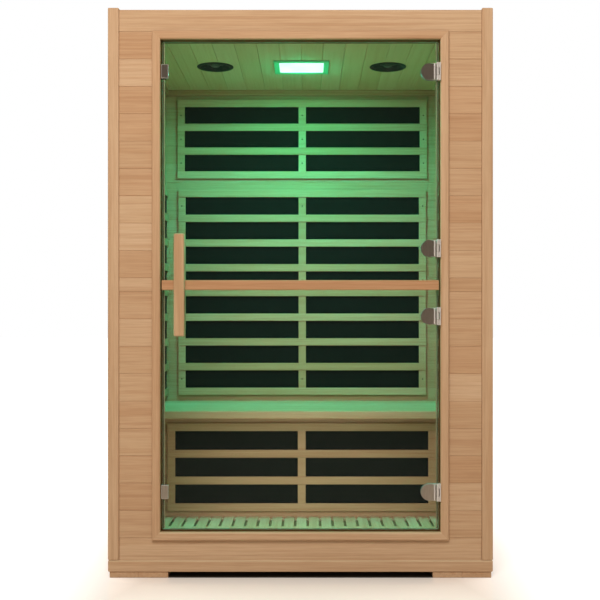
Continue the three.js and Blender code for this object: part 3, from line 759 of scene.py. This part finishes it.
# %% Glass, rail and handle
GLASS_EASE, RAIL_EASE, HANDLE_EASE = 1.2 * MM, 2.5 * MM, 4 * MM
BROAD = 0.9
glass_lo, glass_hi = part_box("door_glass")
bm = bmesh.new()
add_bar(bm, glass_lo, glass_hi, GLASS_EASE)
bm.normal_update()
for face in bm.faces:
    face.material_index = 0 if abs(face.normal.y) > BROAD else 1
piece("glass_leaf", bm, [glass, glass_edge], "door", "tempered_glass", "door_glass")
for node_name, grain, ease in (("door_rail", "rose_x", RAIL_EASE), ("door_handle", "rose_z", HANDLE_EASE)):
    bm = bmesh.new()
    add_bar(bm, *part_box(node_name), ease=ease)
    piece(f"{node_name}_bar", bm, [wood[grain]], "door", "rose_hemlock", node_name)
print("glass leaf in metres:", [round(size, 3) for size in glass_hi - glass_lo])

# %% [markdown]
# Inside, a narrower bar on two feet is the second handle, and two cap nuts hold the rail through
# holes in the glass. A cap nut is turned: a domed cap on a flat washer.

# %% Inner handle and cap nuts
GRIP, GRIP_FOOT, GRIP_FOOT_EASE = 18 * MM, 28 * MM, 2 * MM
LOWER_FOOT_IN, UPPER_FOOT_IN = 16 * MM, 44 * MM
RAIL_NUT_X = 300 * MM
CAP_NUT = [(0, 7), (3.5, 6.4), (6, 4.6), (7, 2), (7, 1.5), (9, 1.5), (9, 0.2), (0, 0.2)]
lo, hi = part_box("inner_door_handle")
bm = bmesh.new()
add_bar(bm, (lo.x, hi.y - GRIP, lo.z), hi, HANDLE_EASE)
for z in (lo.z + LOWER_FOOT_IN, hi.z - UPPER_FOOT_IN):
    add_bar(bm, (lo.x, lo.y, z), (hi.x, hi.y - GRIP, z + GRIP_FOOT), GRIP_FOOT_EASE)
piece("inner_handle_bar", bm, [wood["rose_z"]], "door", "rose_hemlock", "inner_door_handle")
rail_level = sum(corner.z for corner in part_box("door_rail")) / 2
for side, x in (("left", -RAIL_NUT_X), ("right", RAIL_NUT_X)):
    bm = bmesh.new()
    place = Matrix.Translation((x, glass_hi.y, rail_level)) @ facing((0, 1, 0))
    add_turned(bm, place, in_metres(CAP_NUT), 24)
    # The cap nuts are in the pale nickel: a painted highlight.
    piece(f"rail_cap_nut_{side}", bm, [highlight_nickel], "door", "nickel", smooth=35)
print("rail level:", round(rail_level, 3))

# %% [markdown]
# Sealing strips are clipped along both upright edges of the glass: a dark foot at the edge and a
# pale lip beside it, which read as a thin dark line next to a pale one. The dark foot is painted
# shade, for the shadow in the rebate beside the glass, and the pale lip a painted highlight of the glass
# edge.
# They stop at the hinges and strikes, so each edge gets a row of short strips.

# %% Edge seals
SEAL_FOOT, SEAL_LIP, SEAL_LIFT, SEAL_THICK, SEAL_EASE = 3 * MM, 3.5 * MM, 0.2 * MM, 1.4 * MM, 0.4 * MM


def seal_edge(name, edge, inward, fittings):
    ends = [corner.z for node_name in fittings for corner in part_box(node_name)]
    cuts = sorted([glass_lo.z, *ends, glass_hi.z])
    stops = [edge, edge + inward * SEAL_FOOT, edge + inward * (SEAL_FOOT + SEAL_LIP)]
    bm = bmesh.new()
    for low, high in zip(cuts[::2], cuts[1::2]):
        for paint in (0, 1):
            x0, x1 = sorted(stops[paint:paint + 2])
            lo, hi = (x0, glass_hi.y + SEAL_LIFT, low), (x1, glass_hi.y + SEAL_THICK, high)
            add_bar(bm, lo, hi, SEAL_EASE, paint)
    # The foot takes the dark finish, painted shade, and the lip the pale one, a painted highlight.
    piece(name, bm, [seal_shade, lip_highlight], "door", "tempered_glass")


clamps = [f"hinge_{n}_clamp" for n in (1, 2, 3, 4)]
strikes = ["upper_strike", "lower_strike"]
seal_edge("seal_strip_left", glass_lo.x, 1, strikes)
seal_edge("seal_strip_right", glass_hi.x, -1, clamps)
print("seal strips beside", strikes + clamps)

# %% [markdown]
# A glass hinge has two sides. The frame side is a plate on the jamb with two knuckles and the pin.
# The door side grips the glass with two half-round leaves and carries the middle knuckle.
# Faces that look straight forward or back stay satin, and all others turn pale: a painted highlight on the
# rims.

# %% Hinge helpers
HINGE_X, LEAF, BARREL, SLEEVE, KNUCKLE = 461 * MM, 4.5 * MM, 6 * MM, 4.2 * MM, 12 * MM
WEB, FOLD, FOLD_CLEAR, KNUCKLE_GAP = 2.5 * MM, 5.5 * MM, 1 * MM, 0.3 * MM
RIM_EASE, FIT, STRAIGHT = 2.2 * MM, 0.3 * MM, 0.98
KNUCKLE_CHAMFER = 1.4 * MM


def paint_rim_highlights(bm):
    bm.normal_update()
    for face in bm.faces:
        # Faces that turn away from straight get the pale nickel: a painted highlight.
        face.material_index = 0 if abs(face.normal.y) > STRAIGHT else 2


def half_round(reach, radius, steps=20):
    bend = [math.pi / 2 + math.pi * n / steps for n in range(steps + 1)]
    nose = [(radius - reach + radius * math.cos(a), radius * math.sin(a)) for a in bend]
    return [(0, -radius), (0, radius)] + nose


def add_knuckle(bm, x, y, low, high):
    tall, neck = high - low, SLEEVE - KNUCKLE_CHAMFER
    lower = [(0, 0), (neck, 0), (SLEEVE, KNUCKLE_CHAMFER)]
    upper = [(SLEEVE, tall - KNUCKLE_CHAMFER), (neck, tall), (0, tall)]
    add_turned(bm, Matrix.Translation((x, y, low)), lower + upper, 32, paint=1)


print("hinge axis at x in metres:", HINGE_X)

# %% [markdown]
# The leaf on the door side folds forward beside the barrel; the fold and the knuckles are painted in
# pale nickel, a painted highlight that gives the bright band next to the satin half-round. The
# knuckles stand one above the other with a small gap, as on a real pin.

# %% Hinges
FOLD_BACK, FOLD_EASE, WEB_EASE = 1.7 * MM, 2 * MM, 0.5 * MM
PLATE, PLATE_BACK, PLATE_EASE, TAB_IN = 3.6 * MM, 3 * MM, 0.6 * MM, 1 * MM


def hinge_clamp(name):
    lo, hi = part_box(name)
    axis_x, axis_y, centre = hi.x - BARREL, lo.y + BARREL, (lo.z + hi.z) / 2
    edge = glass_hi.x + FIT
    bm = bmesh.new()
    outline = half_round(edge + WEB - lo.x, (hi.z - lo.z) / 2)
    for back in (glass_lo.y - FIT, hi.y):
        place = Matrix(((1, 0, 0, edge + WEB), (0, 0, -1, back), (0, 1, 0, centre), (0, 0, 0, 1)))
        add_plate(bm, outline, place, LEAF, RIM_EASE)
    add_bar(bm, (edge, glass_lo.y - FIT, lo.z), (edge + WEB, glass_hi.y + FIT, hi.z), WEB_EASE)
    paint_rim_highlights(bm)
    fold = axis_x - BARREL - FOLD_CLEAR
    fold_lo, fold_hi = (fold - FOLD, axis_y + FOLD_BACK, lo.z), (fold, glass_lo.y - FIT, hi.z)
    # The fold is in the pale nickel: a painted highlight, the bright band.
    add_bar(bm, fold_lo, fold_hi, FOLD_EASE, paint=1)
    add_knuckle(bm, axis_x, axis_y, centre - KNUCKLE, centre + KNUCKLE)
    piece(f"{name}_plates", bm, [nickel, highlight_nickel, rim_highlight_nickel], "door", "nickel", name, smooth=28)


def hinge_frame(name):
    lo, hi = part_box(name)
    axis_y, centre = lo.y + BARREL, (lo.z + hi.z) / 2
    bm = bmesh.new()
    add_bar(bm, (hi.x - PLATE, axis_y - PLATE_BACK, lo.z), hi, PLATE_EASE, paint=1)
    for low, high in ((lo.z, centre - KNUCKLE - KNUCKLE_GAP), (centre + KNUCKLE + KNUCKLE_GAP, hi.z)):
        add_knuckle(bm, HINGE_X, axis_y, low, high)
        tab_lo, tab_hi = (HINGE_X, axis_y + TAB_IN, low), (hi.x - TAB_IN, axis_y + SLEEVE, high)
        add_bar(bm, tab_lo, tab_hi, PLATE_EASE, paint=1)
    piece(f"{name}_knuckles", bm, [nickel, highlight_nickel], "cabin", "nickel", name, smooth=28)


for clamp in clamps:
    hinge_clamp(clamp)
    hinge_frame(clamp.replace("clamp", "frame"))
print("hinges:", len(clamps))

# %% [markdown]
# Two strike clips hug the free edge of the glass, and a magnet block on the jamb behind each one
# holds the door shut. Each block has two countersunk screws.

# %% Strikes and magnets
CLIP_EASE, CLIP_IN, MAGNET_EASE = 0.9 * MM, 0.5 * MM, 1.5 * MM
MAGNET_SCREW_IN, SCREW_SUNK = 9 * MM, 0.3 * MM
MAGNET_SCREW = [(0, -1), (3, -1), (3, 0), (2, 0.3), (0, 0.3)]
for name in strikes:
    lo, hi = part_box(name)
    bm = bmesh.new()
    for y0, y1 in ((lo.y, glass_lo.y - FIT), (glass_hi.y + FIT, hi.y)):
        add_bar(bm, (lo.x, y0, lo.z), (hi.x, y1, hi.z), CLIP_EASE)
    add_bar(bm, (lo.x, lo.y + CLIP_IN, lo.z), (glass_lo.x - FIT, hi.y - CLIP_IN, hi.z), CLIP_IN)
    # The rims of the clips are painted pale: a painted highlight.
    paint_rim_highlights(bm)
    piece(f"{name}_clip", bm, [nickel, highlight_nickel, rim_highlight_nickel], "door", "nickel", name)
for level in ("upper", "lower"):
    lo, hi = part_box(f"{level}_magnet")
    bm = bmesh.new()
    add_bar(bm, lo, hi, MAGNET_EASE)
    for z in (lo.z + MAGNET_SCREW_IN, hi.z - MAGNET_SCREW_IN):
        place = Matrix.Translation((hi.x - SCREW_SUNK, (lo.y + hi.y) / 2, z)) @ facing((1, 0, 0))
        add_turned(bm, place, in_metres(MAGNET_SCREW), 16, paint=1)
    piece(f"{level}_magnet_block", bm, [plastic, nail], "cabin", "black_plastic", f"{level}_magnet")
print("strikes and magnets:", strikes)

# %% [markdown]
# The control panel inside beside the door is a moulded frame round a glossy dark display, with
# three rows of plain soft keys under it.

# %% Control panel
BEZEL, RAISED, PANEL_EASE = 8 * MM, 3 * MM, 1 * MM
DISPLAY_TALL, DISPLAY_PROUD, DISPLAY_EASE = 76 * MM, 0.8 * MM, 0.3 * MM
KEY_ROWS, KEY_ROW, KEY_COLUMN = 3, 24 * MM, 21 * MM
KEY = [(0, 1.2), (5.5, 1.0), (6.8, 0), (6.8, -0.5), (0, -0.5)]
lo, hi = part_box("control_panel")
face = hi.y - RAISED
root = face - PANEL_EASE
bm = bmesh.new()
add_bar(bm, lo, (hi.x, face, hi.z), PANEL_EASE)
for x0, x1 in ((lo.x, lo.x + BEZEL), (hi.x - BEZEL, hi.x)):
    add_bar(bm, (x0, root, lo.z), (x1, hi.y, hi.z), PANEL_EASE)
for z0, z1 in ((lo.z, lo.z + BEZEL), (hi.z - BEZEL, hi.z)):
    add_bar(bm, (lo.x + BEZEL, root, z0), (hi.x - BEZEL, hi.y, z1), PANEL_EASE)
display_lo = (lo.x + BEZEL, root, hi.z - DISPLAY_TALL)
add_bar(bm, display_lo, (hi.x - BEZEL, face + DISPLAY_PROUD, hi.z - BEZEL), DISPLAY_EASE, paint=1)
for row in range(KEY_ROWS):
    for column in (-1, 0, 1):
        spot = ((lo.x + hi.x) / 2 + column * KEY_COLUMN, face, lo.z + (1 + row) * KEY_ROW)
        add_turned(bm, Matrix.Translation(spot) @ facing((0, 1, 0)), in_metres(KEY), 24, paint=2)
finishes = [plastic, display, rubber]
piece("control_panel_unit", bm, finishes, "cabin", "black_plastic", "control_panel", smooth=35)
print("keys on the panel:", 3 * KEY_ROWS)

# %% [markdown]
# On the roof, a folded zinc box with louvres in its lid holds the power supply. A ribbed rubber
# gland at its back takes the mains cord. The gland is turned from one profile in millimetres.

# %% Power unit
LID, CASE_EASE = 4 * MM, 2 * MM
LOUVRES, LOUVRE_PITCH, LOUVRE, LOUVRE_IN = 12, 14 * MM, 6 * MM, 60 * MM
LOUVRE_ROOT, LOUVRE_PROUD, LOUVRE_EASE = 1 * MM, 2 * MM, 1 * MM
HEAD_IN = 14 * MM
HEAD = [(0, 3), (3, 2.8), (5, 1.2), (5, -1), (0, -1)]
GLAND = [
    (0, 0), (12.6, 0), (12.6, 6), (11.2, 6.5), (11.2, 9), (12.2, 9.5), (12.2, 12), (10.8, 12.5), (10.8, 15),
    (11.8, 15.5), (11.8, 18), (10.4, 18.5), (10.4, 29), (9.6, 30), (5, 30), (5, 24), (0, 24)]
lo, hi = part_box("power_unit")
bm = bmesh.new()
lid = hi.z - LID
add_bar(bm, lo, (hi.x, hi.y, lid), CASE_EASE)
for n in range(LOUVRES):
    x = (lo.x + hi.x) / 2 + (n - (LOUVRES - 1) / 2) * LOUVRE_PITCH
    louvre_lo = (x, lo.y + LOUVRE_IN, lid - LOUVRE_ROOT)
    louvre_hi = (x + LOUVRE, hi.y - LOUVRE_IN, lid + LOUVRE_PROUD)
    add_bar(bm, louvre_lo, louvre_hi, LOUVRE_EASE)
for x in (lo.x + HEAD_IN, hi.x - HEAD_IN):
    for y in (lo.y + HEAD_IN, hi.y - HEAD_IN):
        add_turned(bm, Matrix.Translation((x, y, lid)), in_metres(HEAD), 18, paint=1)
piece("power_unit_case", bm, [zinc, nail], "cabin", "zinc_steel", "power_unit")
lo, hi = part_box("power_inlet")
bm = bmesh.new()
place = Matrix.Translation(((lo.x + hi.x) / 2, lo.y, (lo.z + hi.z) / 2)) @ facing((0, 1, 0))
add_turned(bm, place, in_metres(GLAND), 32)
piece("power_inlet_gland", bm, [rubber], "cabin", "black_plastic", "power_inlet", smooth=35)
print("louvres in the lid:", LOUVRES)

# %% [markdown]
# The world is a dim warm grey that fills the shadows and that metal mirrors. Only the camera, and
# what it sees through the glass, meets plain white instead, so the background stays white.

# %% World
WORLD_FILL, WORLD_WHITE = (0.2, 0.18, 0.155, 1), (1, 1, 1, 1)
world = bpy.data.worlds.new("studio")
scene.world = world
world.use_nodes = True
tree = world.node_tree
rays = node(tree, "ShaderNodeLightPath").outputs
seen = node(tree, "ShaderNodeMath", links={0: rays["Is Camera Ray"], 1: rays["Is Transmission Ray"]},
            operation="MAXIMUM").outputs[0]
level = node(tree, "ShaderNodeMix", {MIX_A: WORLD_FILL, MIX_B: WORLD_WHITE}, {0: seen}, data_type="RGBA")
tree.links.new(level.outputs[MIX_OUT], tree.nodes["Background"].inputs["Color"])
print("world fill:", WORLD_FILL[:3])

# %% [markdown]
# The studio floor is pale glossy acrylic that keeps the cabin's shadow and a soft reflection. Away
# from the cabin the camera sees it lifted to white, more quickly at the sides than in front, so
# that it runs into the background. A dark sheet under the plinth is painted shade, and gives the black gap
# there.

# %% Studio floor
FLOOR_HALF = 30
PAPER_LIFT = 1.0
FADE_STARTS, FADE_ENDS = {"X": -0.23, "Y": -0.36}, {"X": 0.3, "Y": 1.36}
SHADE_SHEET_INSET, SHADE_SHEET_THICK, SHADE_SHEET_EASE = 6 * MM, 0.6 * MM, 0.2 * MM


def stage_piece(name, bm, material):
    mesh = bpy.data.meshes.new(name)
    bm.to_mesh(mesh)
    bm.free()
    mesh.materials.append(material)
    made = bpy.data.objects.new(name, mesh)
    scene.collection.objects.link(made)
    return made


paper, tree, shader = new_material("white_backdrop_acrylic", Roughness=0.12, Emission_Color=(1, 1, 1, 1))
shader.inputs["Base Color"].default_value = linear("#F4E7D6")
place = node(tree, "ShaderNodeTexCoord").outputs["Object"]
split = node(tree, "ShaderNodeSeparateXYZ", links={"Vector": place})
fades = []
for axis in FADE_STARTS:
    half = cad_box[1][AXES[axis.lower()]]
    away = node(tree, "ShaderNodeMath", links={0: split.outputs[axis]}, operation="ABSOLUTE").outputs[0]
    reach = {"From Min": half + FADE_STARTS[axis], "From Max": half + FADE_ENDS[axis], "To Max": PAPER_LIFT}
    fades.append(node(tree, "ShaderNodeMapRange", reach, {"Value": away}).outputs["Result"])
fade = node(tree, "ShaderNodeMath", links={0: fades[0], 1: fades[1]}, operation="MAXIMUM").outputs[0]
camera_ray = node(tree, "ShaderNodeLightPath").outputs["Is Camera Ray"]
lift = node(tree, "ShaderNodeMath", links={0: camera_ray, 1: fade}, operation="MULTIPLY").outputs[0]
tree.links.new(lift, shader.inputs["Emission Strength"])
bm = bmesh.new()
bmesh.ops.create_grid(bm, x_segments=1, y_segments=1, size=FLOOR_HALF)
floor = stage_piece("studio_floor", bm, paper)

# The sheet under the plinth is painted shade: a dark sheet where the gap under the cabin lies in shadow.
dark_shade = surface("underlay_painted_shade", ("#3A342D", "#463F37"), SPARK_MM, (0.8, 0.95), 0.1)
plinth_lo, plinth_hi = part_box("base_plinth")
bm = bmesh.new()
shade_sheet_lo = (plinth_lo.x + SHADE_SHEET_INSET, plinth_lo.y + SHADE_SHEET_INSET, 0)
add_bar(bm, shade_sheet_lo, (plinth_hi.x - SHADE_SHEET_INSET, plinth_hi.y - SHADE_SHEET_INSET, SHADE_SHEET_THICK), SHADE_SHEET_EASE)
stage_piece("black_underlay", bm, dark_shade)
print("stage pieces:", floor.name, "and a felt sheet")

# %% [markdown]
# Plain studio light: one large soft lamp high in front, a weak warm one low in front, and three
# more for the sides and the back. Mirrors don't show the lamps, so the metal stays satin.

# %% Studio lamps
STUDIO_WHITE, SOFTBOX, SIDE_POWER = "#FFFCF8", 1.8, 70


def lamp(name, kind, place, target, power, colour, size):
    data = bpy.data.lights.new(name, kind)
    data.energy = power
    data.color = linear(colour)[:3]
    if kind == "AREA":
        data.size = size
    else:
        data.shadow_soft_size = size
    made = bpy.data.objects.new(name, data)
    made.location = place
    made.rotation_euler = (Vector(target) - Vector(place)).to_track_quat("-Z", "Y").to_euler()
    made.visible_camera = False
    made.visible_glossy = False
    scene.collection.objects.link(made)
    return made


lamp("key_softbox", "AREA", (-0.4, -3.7, 3.3), (0, 0, 1.4), 121, "#FFFFFF", SOFTBOX)
lamp("front_softbox", "AREA", (0.3, -4.6, 0.7), (0, 0, 0.5), 6, "#FFE8CC", 1.6)
side_places = {"left": (-4.2, 0.8, 2.2), "right": (4.2, 0.8, 2.2), "back": (0, 4.6, 2.4)}
for side, place in side_places.items():
    lamp(f"{side}_softbox", "AREA", place, (0, 0.3, 1.0), SIDE_POWER, STUDIO_WHITE, SOFTBOX)

# %% [markdown]
# The colour light needs lamps of its own: one under the lens, a bluer one in front of it that
# washes the back wall and the bench, and a small one that makes the glow round the frame. Two weak
# fills stand for light that bounces about in the cabin. Light linking keeps all five off the studio
# floor and the front boards, so that the floor stays white and the doorway brown.

# %% Lamps in the cabin
lens_place = (lens_lo + lens_hi) / 2
spill_y = lens_place.y - 0.3
by_door, calf_foot = (0, front_face + 0.1, 0.3), (0, front_face + 0.66, 0.16)


def under_ceiling(y, drop):
    return Vector((lens_place.x, y, ceiling_level - drop))


def down_lamp(name, kind, place, power, colour, size):
    return lamp(name, kind, place, (place.x, place.y, 0), power, colour, size)


inside_lamps = [
    down_lamp("colour_light", "AREA", under_ceiling(lens_place.y, 0.012), 5.1, "#10FF91", 0.16),
    down_lamp("colour_spill", "AREA", under_ceiling(spill_y, 0.02), 20.4, "#4AFFEB", 0.16),
    down_lamp("colour_halo", "POINT", under_ceiling(lens_place.y, 0.07), 0.9, "#10FFC4", 0.04),
    lamp("ceiling_fill", "AREA", (0, 0, 1.5), (0, 0, 1.9), 0.6, "#BCFFB4", 1.05),
    lamp("cabin_fill", "AREA", by_door, calf_foot, 1.45, "#EEFFEE", 0.45),
]
kept_out = bpy.data.collections.new("outside_the_colour_light")
for unlit in (floor, front_boards):
    kept_out.objects.link(unlit)
for entry in kept_out.collection_objects:
    entry.light_linking.link_state = "EXCLUDE"
for inside_lamp in inside_lamps:
    inside_lamp.light_linking.receiver_collection = kept_out
print("lamps in the cabin:", [inside_lamp.name for inside_lamp in inside_lamps])
